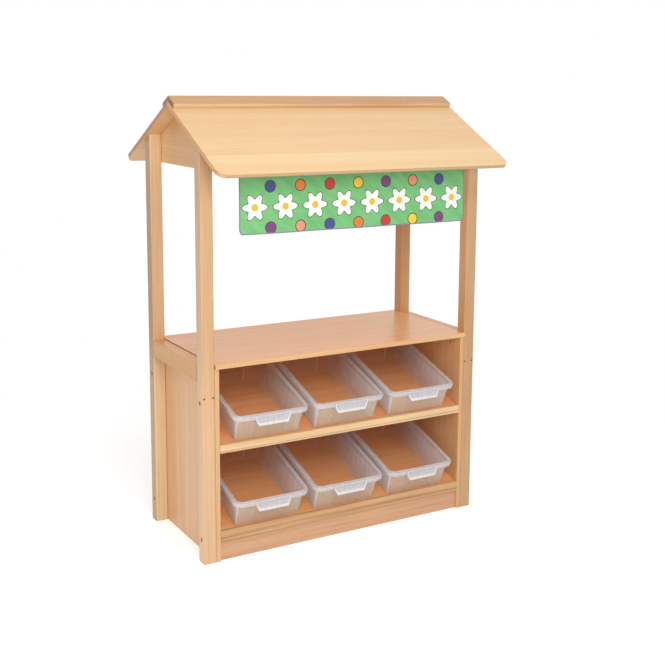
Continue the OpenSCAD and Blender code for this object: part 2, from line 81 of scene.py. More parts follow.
def mapRange(tree, value, fromLow, fromHigh, toLow=0.0, toHigh=1.0, smooth=False):
    inputs = {"Value": value, "From Min": fromLow, "From Max": fromHigh, "To Min": toLow, "To Max": toHigh}
    kind = "SMOOTHSTEP" if smooth else "LINEAR"
    return addNode(tree, "ShaderNodeMapRange", inputs, interpolation_type=kind).outputs["Result"]


def mixColour(tree, factor, first, second, blend="MIX"):
    inputs = {"Fac": factor, "Color1": first, "Color2": second}
    return addNode(tree, "ShaderNodeMixRGB", inputs, blend_type=blend).outputs["Color"]


def tintColour(tree, factor, colour, tone):
    tinted = mixColour(tree, 1.0, colour, (*tone, 1), "MULTIPLY")
    return mixColour(tree, factor, colour, tinted)


def splitAxes(tree, vector):
    return addNode(tree, "ShaderNodeSeparateXYZ", {"Vector": vector}).outputs


def stretch(tree, vector, scale):
    return addNode(tree, "ShaderNodeMapping", {"Vector": vector, "Scale": scale}).outputs["Vector"]


def noise(tree, vector, detail=2.0, roughness=0.5, distortion=0.0):
    inputs = {"Vector": vector, "Scale": 1.0, "Detail": detail}
    inputs.update({"Roughness": roughness, "Distortion": distortion})
    return addNode(tree, "ShaderNodeTexNoise", inputs).outputs["Fac"]


def addBump(tree, shader, height, strength, distance):
    bump = addNode(tree, "ShaderNodeBump", {"Height": height, "Strength": strength, "Distance": distance})
    tree.links.new(bump.outputs["Normal"], shader.inputs["Normal"])


def toLinear(red, green, blue):
    parts = [c / 255 for c in (red, green, blue)]
    return tuple(c / 12.92 if c <= 0.04045 else ((c + 0.055) / 1.055) ** 2.4 for c in parts) + (1.0,)


# Two small holes in each front post: painted shade inside them and a painted shade ring round the mouth
faceHole = {
    "posts": ["front_left_post", "front_right_post"], "offset": 0.01728, "height": 0.616, "radius": 0.0025,
    "tone": (58, 34, 16), "mouth": 1.08, "shadeReach": 1.9, "shadeShare": 0.75,
    "darkDepth": (0.0003, 0.0012), "mouthShadeDepth": (0.0012, 0.0016),
}


def faceHoles(piece):
    if piece not in faceHole["posts"]:
        return []
    low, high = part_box(piece)
    middle = (low.x + high.x) / 2
    return [(middle + side * faceHole["offset"], low.y, faceHole["height"]) for side in (-1, 1)]


# Painted shade in a hole: the bore goes dark and a dark ring spreads round its mouth
def paintHoleShade(tree, colour, spot, holeX, faceY, holeZ):
    radius = faceHole["radius"]
    sideways = math2(tree, "SUBTRACT", spot["X"], holeX)
    upward = math2(tree, "SUBTRACT", spot["Z"], holeZ)
    reach = lengthOf(tree, sideways, upward)
    within = mapRange(tree, reach, radius, radius * faceHole["mouth"], 1.0, 0.0)
    deep = mapRange(tree, spot["Y"], *(faceY + depth for depth in faceHole["darkDepth"]))
    shadeEdge = radius * faceHole["shadeReach"]
    mouthShade = mapRange(tree, reach, radius, shadeEdge, faceHole["shadeShare"], 0.0, smooth=True)
    near = mapRange(tree, spot["Y"], *(faceY + depth for depth in faceHole["mouthShadeDepth"]), 1.0, 0.0)
    inHole = math2(tree, "MULTIPLY", within, deep)
    onFace = math2(tree, "MULTIPLY", mouthShade, near)
    return mixColour(tree, math2(tree, "MAXIMUM", inHole, onFace), colour, toLinear(*faceHole["tone"]))


# Lacquered beech. Order names the axes along the grain, across the staves and through the board.
# A range is the span of noise in which a mark grows to its depth. Tones multiply the colour:
# endTone on end grain; edgeToneAndShading on the faces that look across the staves, painted shade and
# painted light on the posts, rails, caps and counter, darker on the roof edges; shadeBand as (place
# across, half width, tone), a painted shade band; each paintedShading as (start, stop, tone) along the
# grain, painted light and shade; seamShade as (foot, reach, tone) through the board, painted shade in the
# seam.
woodLook = {
    "stave": 0.4,
    "tilt": 0.0,
    "seedShift": (0.37, 0.019, 0.53),
    "staveSeed": 7.3,
    "staveSlide": 5.0,
    "blushShare": 0.5,
    "bandScale": (0.9, 22.0, 22.0),
    "bandRange": (0.32, 0.68),
    "streakScale": (3.2, 130.0, 130.0),
    "streakRange": (0.42, 0.72),
    "streakDepth": 0.10,
    "fibreScale": (11.0, 460.0, 460.0),
    "fibreRange": (0.4, 0.75),
    "fibreDepth": 0.07,
    "fleckScale": (70.0, 640.0, 640.0),
    "fleckRange": (0.64, 0.72),
    "fleckDepth": 0.10,
    "roughness": (0.24, 0.36),
    "gloss": 0.35,
    "bumpStrength": 0.3,
    "bumpHeight": 0.0002,
    "endTone": (0.68, 0.57, 0.50),
    "edgeToneAndShading": (1.0, 1.0, 1.0),
    "shadeBand": None,
    "paintedShading": (),
    "seamShade": None,
}


def makeWood(name, wood, seed, holes=()):
    look = {**woodLook, **wood}
    light, dark, blush = (toLinear(*look[key]) for key in ("light", "dark", "blush"))
    order = look["order"]
    material, tree, shader = newMaterial(name)
    place = addNode(tree, "ShaderNodeTexCoord").outputs
    shift = tuple(step * seed for step in look["seedShift"])
    lean = (look["tilt"], 0, 0)
    inputs = {"Vector": place["Object"], "Rotation": lean, "Location": shift}
    axes = splitAxes(tree, addNode(tree, "ShaderNodeMapping", inputs).outputs["Vector"])
    along, across, depth = (axes[letter] for letter in order)
    alongShift, acrossShift, depthShift = (shift["XYZ".index(letter)] for letter in order)

    # Each stave has its own tone and its own stretch of grain
    staveIndex = math2(tree, "FLOOR", math2(tree, "DIVIDE", across, look["stave"]))
    staveSeed = math2(tree, "ADD", staveIndex, look["staveSeed"] * seed)
    staveNoise = addNode(tree, "ShaderNodeTexWhiteNoise", {"W": staveSeed}, noise_dimensions="1D")
    staveTone = staveNoise.outputs["Value"]
    slid = math2(tree, "ADD", along, math2(tree, "MULTIPLY", staveTone, look["staveSlide"]))
    grain = addNode(tree, "ShaderNodeCombineXYZ", {"X": slid, "Y": across, "Z": depth}).outputs["Vector"]
    wide = stretch(tree, grain, look["bandScale"])
    bands = noise(tree, wide, detail=3.0, roughness=0.55, distortion=0.5)
    streaks = noise(tree, stretch(tree, grain, look["streakScale"]), detail=1.0)
    fibres = noise(tree, stretch(tree, grain, look["fibreScale"]), detail=2.0, roughness=0.6)
    flecks = noise(tree, stretch(tree, grain, look["fleckScale"]), detail=0.0)
    body = mixColour(tree, mapRange(tree, bands, *look["bandRange"]), light, dark)
    staved = mixColour(tree, math2(tree, "MULTIPLY", staveTone, look["blushShare"]), body, blush)
    streakShade, fibreShade, fleckShade = (
        mapRange(tree, marks, *look[kind + "Range"], 1.0, 1.0 - look[kind + "Depth"])
        for kind, marks in (("streak", streaks), ("fibre", fibres), ("fleck", flecks))
    )
    shade = math2(tree, "MULTIPLY", streakShade, math2(tree, "MULTIPLY", fibreShade, fleckShade))
    shadeColour = addNode(tree, "ShaderNodeCombineColor", {"Red": shade, "Green": shade, "Blue": shade})
    colour = mixColour(tree, 1.0, staved, shadeColour.outputs["Color"], "MULTIPLY")

    # Painted shade band across the grain, wavering with the bands
    if look["shadeBand"]:
        height, width, tone = look["shadeBand"]
        wander = mapRange(tree, bands, *noiseSpan, -width, width)
        offCentre = math2(tree, "SUBTRACT", across, height + acrossShift)
        spread = math2(tree, "ABSOLUTE", math2(tree, "ADD", offCentre, wander))
        shadeBand = mapRange(tree, spread, 0.0, width, 1.0, 0.0, smooth=True)
        colour = tintColour(tree, shadeBand, colour, tone)
    # End grain gets its own tone; the faces across the staves get painted shade on some pieces and painted
    # light on others
    inputs = {"Vector": place["Normal"], "Rotation": lean}
    turned = addNode(tree, "ShaderNodeMapping", inputs, vector_type="VECTOR").outputs["Vector"]
    facing = splitAxes(tree, turned)
    for letter, tone in zip(order, (look["endTone"], look["edgeToneAndShading"])):
        face = mapRange(tree, math2(tree, "ABSOLUTE", facing[letter]), *facingSpan)
        colour = tintColour(tree, face, colour, tone)
    # Painted light and painted shade along the grain, each growing from start to stop
    for start, stop, tone in look["paintedShading"]:
        paintedShading = mapRange(tree, along, start + alongShift, stop + alongShift, smooth=True)
        colour = tintColour(tree, paintedShading, colour, tone)
    # Painted shade in a seam, fading away from its foot
    if look["seamShade"]:
        foot, reach, tone = look["seamShade"]
        foot += depthShift
        seamShade = mapRange(tree, depth, foot, foot + reach, 1.0, 0.0, smooth=True)
        colour = tintColour(tree, seamShade, colour, tone)
    # Painted shade in the front posts' holes
    if holes:
        spot = splitAxes(tree, place["Object"])
        for hole in holes:
            colour = paintHoleShade(tree, colour, spot, *hole)

    tree.links.new(colour, shader.inputs["Base Color"])
    tree.links.new(mapRange(tree, fibres, *noiseSpan, *look["roughness"]), shader.inputs["Roughness"])
    shader.inputs["Specular IOR Level"].default_value = look["gloss"]
    addBump(tree, shader, fibres, look["bumpStrength"], look["bumpHeight"])
    return material


capWood = {
    "slot": "ridge_wood", "order": "XYZ",
    "light": (216, 167, 115), "dark": (201, 148, 96), "blush": (209, 156, 104),
    # Painted light lifting the cap's edge faces; painted shade along its foot where it meets the roof
    "edgeToneAndShading": (1.29, 1.59, 2.17), "seamShade": (1.4675, 0.014, (0.74, 0.76, 0.78)),
}
roofWood = {
    "slot": "roof_wood", "order": "XYZ", "stave": 0.118, "blushShare": 0.8,
    "streakDepth": 0.02, "fibreDepth": 0.035, "fleckDepth": 0.06,
}
battenWood = {
    "slot": "batten_wood",
    "light": (226, 186, 136), "dark": (208, 164, 114), "blush": (212, 166, 118),
}
woodPieces = {
    "frontLeftPost": {
        "pieces": ["front_left_post"], "slot": "post_wood", "order": "ZXY",
        "light": (239, 200, 157), "dark": (226, 181, 134), "blush": (230, 183, 140),
        # Painted shade: darker over the upper part of the post
        "paintedShading": [(0.55, 0.85, (0.90, 0.88, 0.84))],
    },
    "rearLeftPost": {
        "pieces": ["rear_left_post"], "slot": "post_wood", "order": "ZXY",
        "light": (238, 202, 160), "dark": (224, 184, 138), "blush": (228, 184, 142),
        # Painted shade on the side faces; painted light near the top and over the lower part
        "edgeToneAndShading": (0.62, 0.50, 0.38),
        "paintedShading": [
            (1.15, 1.42, (1.15, 1.17, 1.16)),
            (1.38, 1.50, (1.01, 1.13, 1.20)),
            (0.76, 0.62, (1.14, 1.33, 1.46)),
        ],
    },
    # Painted shade: darker tones than the left posts and darker, redder side faces; painted light at the
    # top
    "frontRightPost": {
        "pieces": ["front_right_post"], "slot": "post_wood", "order": "ZXY",
        "light": (216, 174, 133), "dark": (203, 156, 111), "blush": (206, 158, 116),
        "edgeToneAndShading": (1.03, 0.90, 0.72), "paintedShading": [(1.30, 1.37, (1.28, 1.36, 1.45))],
    },
    # Painted shade: darker tones than the left posts and darker side faces
    "rearRightPost": {
        "pieces": ["rear_right_post"], "slot": "post_wood", "order": "ZXY",
        "light": (224, 176, 124), "dark": (210, 156, 102), "blush": (214, 160, 107),
        "edgeToneAndShading": (0.92, 0.82, 0.70),
    },
    "endRail": {
        "pieces": ["left_end_rail", "right_end_rail"], "slot": "rail_wood", "order": "YZX",
        "light": (224, 177, 113), "dark": (210, 159, 95), "blush": (216, 159, 99),
        # Painted light: top and bottom faces lighter, standing in for the sky's reflection on the rail
        # tops
        "edgeToneAndShading": (1.24, 1.17, 1.20),
    },
    "leftPanel": {
        "pieces": ["left_side_panel"], "slot": "panel_wood", "order": "ZYX", "stave": 0.11,
        "light": (240, 194, 146), "dark": (228, 178, 130), "blush": (232, 178, 136), "streakDepth": 0.07,
    },
    # Painted shade: darker tones than the left panel, for its shaded inner face
    "rightPanel": {
        "pieces": ["right_side_panel"], "slot": "panel_wood", "order": "ZYX", "stave": 0.11,
        "light": (234, 188, 134), "dark": (222, 172, 118), "blush": (226, 172, 124), "streakDepth": 0.07,
    },
    "gable": {
        "pieces": ["left_gable", "right_gable"], "slot": "panel_wood", "order": "YZX", "stave": 0.12,
        "light": (236, 190, 134), "dark": (224, 174, 116), "blush": (226, 172, 116),
        # Painted light: lighter towards the rear, by the rear post
        "streakDepth": 0.03, "fibreDepth": 0.04, "paintedShading": [(0.07, 0.20, (1.18, 1.33, 1.50))],
    },
    "backPanel": {
        "pieces": ["back_panel"], "slot": "panel_wood", "order": "ZXY", "stave": 0.13,
        "light": (247, 180, 114), "dark": (234, 160, 94), "blush": (239, 162, 100), "gloss": 0.2,
    },
    "counter": {
        "pieces": ["countertop"], "slot": "counter_wood", "order": "XYZ", "stave": 0.105,
        "light": (253, 195, 136), "dark": (245, 176, 114), "blush": (247, 173, 116),
        "streakDepth": 0.05, "gloss": 0.46,
        # Painted highlight on the front and back edges; painted reflection whitening the right end
        "edgeToneAndShading": (0.91, 1.05, 1.14), "paintedShading": [(0.15, 0.50, (1.0, 1.10, 1.22))],
    },
    "shelf": {
        "pieces": ["upper_shelf", "lower_shelf"], "slot": "shelf_wood", "order": "XYZ", "stave": 0.12,
        "light": (253, 187, 126), "dark": (242, 167, 106), "blush": (244, 167, 110),
        "tilt": -shelfTilt, "gloss": 0.2,
    },
    "upperLip": {
        "pieces": ["upper_shelf_lip"], "slot": "lip_wood", "order": "XZY",
        "light": (250, 215, 165), "dark": (234, 191, 139), "blush": (236, 191, 143), "blushShare": 0.2,
        # Painted shade band along the lip's lower edge
        "shadeBand": (0.4115, 0.0042, (0.72, 0.66, 0.58)),
    },
    "lowerLip": {
        "pieces": ["lower_shelf_lip"], "slot": "lip_wood", "order": "XZY",
        "light": (234, 190, 142), "dark": (208, 158, 106), "blush": (216, 166, 118), "streakDepth": 0.20,
        # Painted shade band along the lip's lower edge
        "shadeBand": (0.0900, 0.0060, (0.74, 0.68, 0.60)),
    },
    "plinth": {
        "pieces": ["front_plinth"], "slot": "lip_wood", "order": "XZY",
        "light": (234, 192, 150), "dark": (216, 168, 124), "blush": (224, 168, 132), "streakDepth": 0.14,
    },
    "frontRoof": {
        **roofWood, "pieces": ["front_roof_panel"], "tilt": -roofTilt,
        "light": (247, 213, 163), "dark": (240, 201, 147), "blush": (229, 179, 127),
        "endTone": (0.88, 0.69, 0.54), "edgeToneAndShading": (0.76, 0.79, 0.86),
    },
    "rearRoof": {
        **roofWood, "pieces": ["rear_roof_panel"], "tilt": roofTilt,
        "light": (241, 204, 151), "dark": (233, 192, 137), "blush": (224, 173, 120),
        "endTone": (0.60, 0.47, 0.43), "edgeToneAndShading": (0.78, 0.72, 0.68),
    },
    "frontCap": {
        **capWood, "pieces": ["front_ridge_cap"], "tilt": -roofTilt, "endTone": (0.52, 0.39, 0.23),
    },
    "rearCap": {**capWood, "pieces": ["rear_ridge_cap"], "tilt": roofTilt},
    "cleat": {
        **battenWood, "order": "YXZ",
        "pieces": ["left_front_cleat", "left_rear_cleat", "right_front_cleat", "right_rear_cleat"],
    },
    "batten": {**battenWood, "pieces": ["sign_batten"], "order": "XZY"},
    "dowel": {
        "pieces": ["counter_dowels", "shelf_dowels", "lip_dowels"], "slot": "dowel_wood", "order": "XYZ",
        "light": (234, 200, 150), "dark": (222, 184, 132), "blush": (224, 186, 134),
    },
}


def dressNode(piece, material):
    nodes[piece].data.materials.clear()
    nodes[piece].data.materials.append(material)


seed = 1
for wood in woodPieces.values():
    for piece in wood["pieces"]:
        dressNode(piece, makeWood(piece + "_wood", wood, seed, faceHoles(piece)))
        seed += 1
print("wood on", seed - 1, "pieces")


# Bolts, screws, inserts and pins
steelLook = {
    "gritScale": (900.0, 900.0, 900.0), "wornRange": (0.35, 0.65), "worn": 0.8, "roughSpread": 0.08,
}
steelPieces = {
    "blackened": {
        "pieces": ["post_bolts"], "slot": "dark_steel", "tone": (120, 99, 80), "roughness": 0.42,
    },
    "bronzed": {
        "pieces": ["rail_screws"], "slot": "dark_steel", "tone": (118, 74, 50), "roughness": 0.46,
    },
    "zinced": {
        "pieces": [
            "sign_pins", "post_inserts", "gable_screws", "cleat_screws", "back_screws", "batten_screws",
        ],
        "slot": "bright_steel", "tone": (196, 195, 190), "roughness": 0.34,
    },
}


def makeSteel(name, tone, roughness):
    material, tree, shader = newMaterial(name)
    place = addNode(tree, "ShaderNodeTexCoord").outputs
    grit = noise(tree, stretch(tree, place["Object"], steelLook["gritScale"]), detail=2.0)
    worn = tuple(steelLook["worn"] * c for c in tone[:3]) + (1.0,)
    colour = mixColour(tree, mapRange(tree, grit, *steelLook["wornRange"]), tone, worn)
    tree.links.new(colour, shader.inputs["Base Color"])
    spread = steelLook["roughSpread"]
    rough = mapRange(tree, grit, *noiseSpan, roughness - spread, roughness + spread)
    tree.links.new(rough, shader.inputs["Roughness"])
    shader.inputs["Metallic"].default_value = 1.0
    return material


for name, steel in steelPieces.items():
    finish = makeSteel(name + "_steel", toLinear(*steel["tone"]), steel["roughness"])
    for piece in steel["pieces"]:
        dressNode(piece, finish)
print("steel on the fasteners")


# Selection by place, as the next operator needs it
samePlace = 1e-5
sameLine = 1e-4


def pickEdges(part, test):
    bpy.ops.mesh.select_mode(type="EDGE")
    bpy.ops.mesh.select_all(action="DESELECT")
    bpy.ops.object.mode_set(mode="OBJECT")
    points = part.data.vertices
    for edge in part.data.edges:
        edge.select = test(points[edge.vertices[0]].co, points[edge.vertices[1]].co)
    bpy.ops.object.mode_set(mode="EDIT")


def selectOnly(*parts):
    bpy.ops.object.select_all(action="DESELECT")
    for part in parts:
        part.select_set(True)
    bpy.context.view_layer.objects.active = parts[0]


def applyModifier(part, kind, **settings):
    modifier = part.modifiers.new(kind.title(), kind)
    for key, value in settings.items():
        setattr(modifier, key, value)
    selectOnly(part)
    bpy.ops.object.modifier_apply(modifier=modifier.name)


def startPiece(name, addPrimitive, **settings):
    bpy.ops.object.select_all(action="DESELECT")
    addPrimitive(size=1, location=(0, 0, 0), **settings)
    piece = bpy.context.object
    piece.name = name
    bpy.ops.object.mode_set(mode="EDIT")
    return piece


def extrudeEdges(move):
    bpy.ops.mesh.extrude_edges_move(TRANSFORM_OT_translate={"value": move})


# One moulded tray, made flat about its own base and then copied to its six places
tray = {
    "rimSize": (0.306, 0.420), "height": 0.115, "rimRadius": 0.034, "rimSegments": 10, "wall": 0.0024,
    "flangeBead": 0.0032, "flangeFloor": 0.0088, "flangeSink": 0.0006, "flangeStep": 0.0007,
    "flangeInner": 0.0034, "draft": 0.010, "wallSteps": 6, "baseRadius": 0.0075, "baseSteps": 6,
    "skirt": 0.014, "edgeRound": 0.0016, "edgeSegments": 3, "smoothAngle": 35,
    "ribShares": (-0.27, 0.27), "ribWidth": 0.0034, "ribRound": 0.4, "ribInset": 0.023,
}
trayHandle = {
    "top": 0.140, "foot": 0.1195, "drop": 0.034, "frame": 0.0056, "proud": 0.0019,
    "panelStep": 0.0008, "panelSink": 0.0017, "cheek": 0.0155, "footReturn": 0.0075, "footBand": 0.0090,
    "flare": 0.0100, "wall": 0.0024, "edgeRound": 0.0007, "edgeSegments": 2, "edgeAngle": 50,
    "topGap": 0.0002, "slack": 0.001,
}


def rimDistance(point):
    halfW, halfL, radius = tray["rimSize"][0] / 2, tray["rimSize"][1] / 2, tray["rimRadius"]
    across, along = abs(point.x) - halfW + radius, abs(point.y) - halfL + radius
    return math.hypot(max(across, 0), max(along, 0)) + min(max(across, along), 0) - radius


def makeTrayShell():
    top, step, sink = tray["height"], tray["flangeStep"], tray["flangeSink"]
    shell = startPiece("trayShell", bpy.ops.mesh.primitive_plane_add)
    bpy.ops.transform.resize(value=(*tray["rimSize"], 1), center_override=(0, 0, 0))
    bpy.ops.transform.translate(value=(0, 0, top))
    bpy.ops.mesh.bevel(offset=tray["rimRadius"], segments=tray["rimSegments"], affect="VERTICES")

    # Insets inward and down: flange, sloping wall, rounded base corner
    steps = [
        (tray["flangeBead"], 0.0), (step, -sink), (tray["flangeFloor"], 0.0),
        (step, sink), (tray["flangeInner"] - 2 * step, 0.0),
    ]
    wallSteps = tray["wallSteps"]
    wallDrop = top - tray["baseRadius"]
    steps += [(tray["draft"] / wallSteps, -wallDrop / wallSteps)] * wallSteps
    innerRadius = tray["baseRadius"] - tray["wall"]
    baseSteps = tray["baseSteps"]
    turns = [math.radians(90 - 90 * k / baseSteps) for k in range(baseSteps + 1)]
    for before, after in zip(turns, turns[1:]):
        inward = innerRadius * (math.sin(before) - math.sin(after))
        down = innerRadius * (math.cos(after) - math.cos(before))
        steps.append((inward, -down))
    for inward, rise in steps:
        bpy.ops.mesh.inset(thickness=inward, depth=rise)

    def onRim(point):
        return point.z > top - samePlace and abs(rimDistance(point)) < samePlace

    bpy.ops.mesh.select_mode(type="EDGE")
    bpy.ops.mesh.select_all(action="DESELECT")
    bpy.ops.mesh.select_non_manifold(extend=False)
    extrudeEdges((0, 0, -tray["skirt"]))
    pickEdges(shell, lambda a, b: onRim(a) and onRim(b))
    bpy.ops.mesh.bevel(offset=tray["edgeRound"], segments=tray["edgeSegments"], affect="EDGES")
    bpy.ops.object.mode_set(mode="OBJECT")
    applyModifier(shell, "SOLIDIFY", thickness=tray["wall"], offset=-1.0, use_even_offset=True)
    return shell


def makeTrayHandle():
    look = trayHandle
    top, drop, frameWidth = tray["height"] - tray["edgeRound"], look["drop"], look["frame"]
    front = -tray["rimSize"][1] / 2 - look["proud"]
    straight = tray["skirt"]
    foot, half = top - drop, look["foot"] / 2
    sideHeight = drop - straight
    slant = (look["top"] / 2 - half) / sideHeight
    handle = startPiece("trayHandle", bpy.ops.mesh.primitive_plane_add)
    bpy.ops.transform.rotate(value=math.radians(-90), orient_axis="X", center_override=(0, 0, 0))
    bpy.ops.transform.resize(value=(look["top"], 1, straight), center_override=(0, 0, 0))
    bpy.ops.transform.translate(value=(0, front, top - straight / 2))
    pickEdges(handle, lambda a, b: max(a.z, b.z) < top - straight + samePlace)
    extrudeEdges((0, 0, -sideHeight))
    bpy.ops.transform.resize(value=(look["foot"] / look["top"], 1, 1), center_override=(0, front, 0))
    bpy.ops.mesh.select_mode(type="FACE")
    bpy.ops.mesh.select_all(action="SELECT")
    bpy.ops.mesh.normals_make_consistent(inside=False)
    bpy.ops.mesh.inset(thickness=frameWidth - look["panelStep"], depth=0.0)
    bpy.ops.mesh.inset(thickness=look["panelStep"], depth=-look["panelSink"])

    def onSide(point):
        sideX = half + slant * (point.z - foot)
        return point.z < top - straight + samePlace and abs(abs(point.x) - sideX) < sameLine

    pickEdges(handle, lambda a, b: onSide(a) and onSide(b) and abs(a.z - b.z) > sideHeight / 2)
    extrudeEdges((0, look["cheek"], 0))
    pickEdges(handle, lambda a, b: max(a.z, b.z) < foot + samePlace and max(a.y, b.y) < front + samePlace)
    extrudeEdges((0, look["footReturn"], 0))
    bpy.ops.object.mode_set(mode="OBJECT")

    # Panel up to the rim, a wider band at the foot, and the lean of the whole below the skirt
    slack = look["slack"]
    for vertex in handle.data.vertices:
        if slack < top - vertex.co.z < frameWidth + slack:
            vertex.co.z = top - look["topGap"]
        if slack < vertex.co.z - foot < frameWidth + slack:
            vertex.co.z += look["footBand"] - frameWidth
        if vertex.co.y < front + look["cheek"] - sameLine:
            vertex.co.y -= look["flare"] * max(0.0, top - straight - vertex.co.z) / sideHeight
    frostPart(handle, handleFrost)
    applyModifier(handle, "SOLIDIFY", thickness=look["wall"], offset=-1.0)
    limit = {"limit_method": "ANGLE", "angle_limit": math.radians(look["edgeAngle"])}
    applyModifier(handle, "BEVEL", width=look["edgeRound"], segments=look["edgeSegments"], **limit)
    return handle


def makeTrayRibs():
    ribs = []
    base, width = tray["baseRadius"], tray["ribWidth"]
    halfW, halfL = (side / 2 - tray["ribInset"] for side in tray["rimSize"])
    lean = math.atan2(tray["draft"], tray["height"] - tray["wall"] - base)
    length = tray["height"] - tray["skirt"] - 2 * base
    for end in (0.0, math.pi):
        for share in tray["ribShares"]:
            rib = startPiece("trayRib", bpy.ops.mesh.primitive_cube_add)
            bpy.ops.transform.resize(value=(width, width, length), center_override=(0, 0, 0))
            pickEdges(rib, lambda a, b: abs(a.z - b.z) > length / 2)
            roundness = width * tray["ribRound"]
            bpy.ops.mesh.bevel(offset=roundness, segments=tray["edgeSegments"], affect="EDGES")
            bpy.ops.object.mode_set(mode="OBJECT")
            rib.matrix_world = (
                Matrix.Rotation(end, 4, "Z")
                @ Matrix.Translation((share * 2 * halfW, -halfL, base))
                @ Matrix.Rotation(lean, 4, "X")
                @ Matrix.Translation((0, 0, base / 2 + length / 2))
            )
            selectOnly(rib)
            bpy.ops.object.transform_apply(location=True, rotation=True, scale=True)
            ribs.append(rib)
    return ribs


# How white the plastic is: clear floor, hazed walls, whiter towards the front as painted light and clearer
# towards the back, whiter flange and beads.
# Widths count inward from the rim's outline, depths down from the rim's top.
trayFrost = {
    "floor": 0.015, "wall": (0.12, 0.24), "wallLightFrontBack": (1.6, 0.38), "sideGain": 2.1,
    "flange": 0.54, "bead": 0.68, "sideRim": 0.74, "skirt": 0.44, "underside": 0.08,
    "handlePanel": 0.42, "handleEdge": 0.84, "rib": 0.30,
    "rimWidth": 0.0175, "beadDepth": 0.0004, "flangeDepth": 0.0012, "skirtWidth": 0.0030,
    "skirtSlack": 0.001, "undersideWidth": 0.0150, "undersideDepth": 0.0060, "floorRise": 0.01,
    "panelSlack": 0.0004,
}


def shellFrost(point):
    look = trayFrost
    top, inward = tray["height"], rimDistance(point)
    onSide = abs(point.x) - tray["rimSize"][0] / 2 > abs(point.y) - tray["rimSize"][1] / 2
    rimGain = look["sideRim"] if onSide else 1.0
    if inward > -look["rimWidth"] and point.z > top - look["beadDepth"]:
        return look["bead"] * rimGain
    if inward > -look["rimWidth"] and point.z > top - look["flangeDepth"]:
        return look["flange"] * rimGain
    if inward > -look["skirtWidth"] and point.z > top - tray["skirt"] - look["skirtSlack"]:
        return look["skirt"]
    if inward > -look["undersideWidth"] and point.z > top - look["undersideDepth"]:
        return look["underside"]
    rise = min(max((point.z - tray["wall"]) / (top - tray["wall"]), 0.0), 1.0)
    if rise < look["floorRise"]:
        return look["floor"]
    # Painted light: the walls grow whiter towards the lit front and clearer towards the shaded back
    back = point.y / tray["rimSize"][1] + 0.5
    gain = look["wallLightFrontBack"][0] * (1 - back) + look["wallLightFrontBack"][1] * back
    if onSide:
        gain *= look["sideGain"]
    low, high = look["wall"]
    return gain * (low + (high - low) * rise)


def handleFrost(point):
    look, slack = trayHandle, trayFrost["panelSlack"]
    lower = look["drop"] - tray["skirt"]
    rise = point.z - tray["height"] + tray["edgeRound"] + look["drop"]
    slant = (look["top"] - look["foot"]) / 2 / lower
    side = look["foot"] / 2 + slant * min(rise, lower) - abs(point.x)
    inner = side > look["frame"] - slack and rise > look["footBand"] - slack
    return trayFrost["handlePanel"] if inner else trayFrost["handleEdge"]


def frostPart(part, rule):
    frost = part.data.attributes.new("frost", "FLOAT", "POINT")
    frost.data.foreach_set("value", [rule(vertex.co) for vertex in part.data.vertices])


trayPlastic = {
    "tone": (245, 241, 238), "haze": (233, 235, 249), "endTint": (246, 231, 210), "thin": (0.34, 0.40),
    "flowScale": (110.0, 70.0, 5.0), "cloud": (0.90, 1.10), "gritScale": (900.0, 900.0, 900.0),
    "roughness": (0.19, 0.31), "bumpStrength": 0.2, "bumpHeight": 0.0001,
}


def makeTrayPlastic():
    look = trayPlastic
    material, tree, shader = newMaterial("tray_plastic")
    place = addNode(tree, "ShaderNodeTexCoord").outputs
    frost = addNode(tree, "ShaderNodeAttribute", attribute_name="frost").outputs["Fac"]
    flow = noise(tree, stretch(tree, place["Object"], look["flowScale"]), detail=3.0)
    grit = noise(tree, stretch(tree, place["Object"], look["gritScale"]), detail=1.0)
    clouded = math2(tree, "MULTIPLY", frost, mapRange(tree, flow, *noiseSpan, *look["cloud"]))
    tree.links.new(clouded, shader.inputs["Alpha"])
    facing = splitAxes(tree, place["Normal"])
    ends = mapRange(tree, math2(tree, "ABSOLUTE", facing["Y"]), *facingSpan)
    thin = mapRange(tree, frost, *look["thin"], 1.0, 0.0)
    veil = mixColour(tree, frost, toLinear(*look["haze"]), toLinear(*look["tone"]))
    tinted = mixColour(tree, math2(tree, "MULTIPLY", ends, thin), veil, toLinear(*look["endTint"]))
    tree.links.new(tinted, shader.inputs["Base Color"])
    tree.links.new(mapRange(tree, grit, *noiseSpan, *look["roughness"]), shader.inputs["Roughness"])
    addBump(tree, shader, grit, look["bumpStrength"], look["bumpHeight"])
    return material


shell = makeTrayShell()
handle = makeTrayHandle()
ribs = makeTrayRibs()
frostPart(shell, shellFrost)
for rib in ribs:
    frostPart(rib, lambda point: trayFrost["rib"])
selectOnly(shell, handle, *ribs)
bpy.ops.object.join()
bpy.ops.object.shade_smooth_by_angle(angle=math.radians(tray["smoothAngle"]))
shell.data.materials.append(makeTrayPlastic())

# Each tray stands behind its shelf's lip, on the slope
trayPlaces = {
    "lips": {"upper": 0.436, "lower": 0.114}, "columns": {"left": -0.328, "middle": 0.0, "right": 0.328},
    "front": -0.242, "sink": 0.0035, "seat": (0, 0.18835, 0.0003),
}
for level, lip in trayPlaces["lips"].items():
    for column, across in trayPlaces["columns"].items():
        copy = shell.copy()
        copy.data = shell.data.copy()
        bpy.context.collection.objects.link(copy)
        copy.name = level + "_" + column + "_tray_moulding"
        copy.matrix_world = (
            Matrix.Translation((across, trayPlaces["front"], lip - trayPlaces["sink"]))
            @ Matrix.Rotation(shelfTilt, 4, "X")
            @ Matrix.Translation(trayPlaces["seat"])
        )
        selectOnly(copy)
        bpy.ops.object.transform_apply(location=True, rotation=True, scale=True)
        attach(copy, "tray_" + level + "_" + column)
        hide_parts(level + "_" + column + "_tray")
bpy.data.objects.remove(shell)
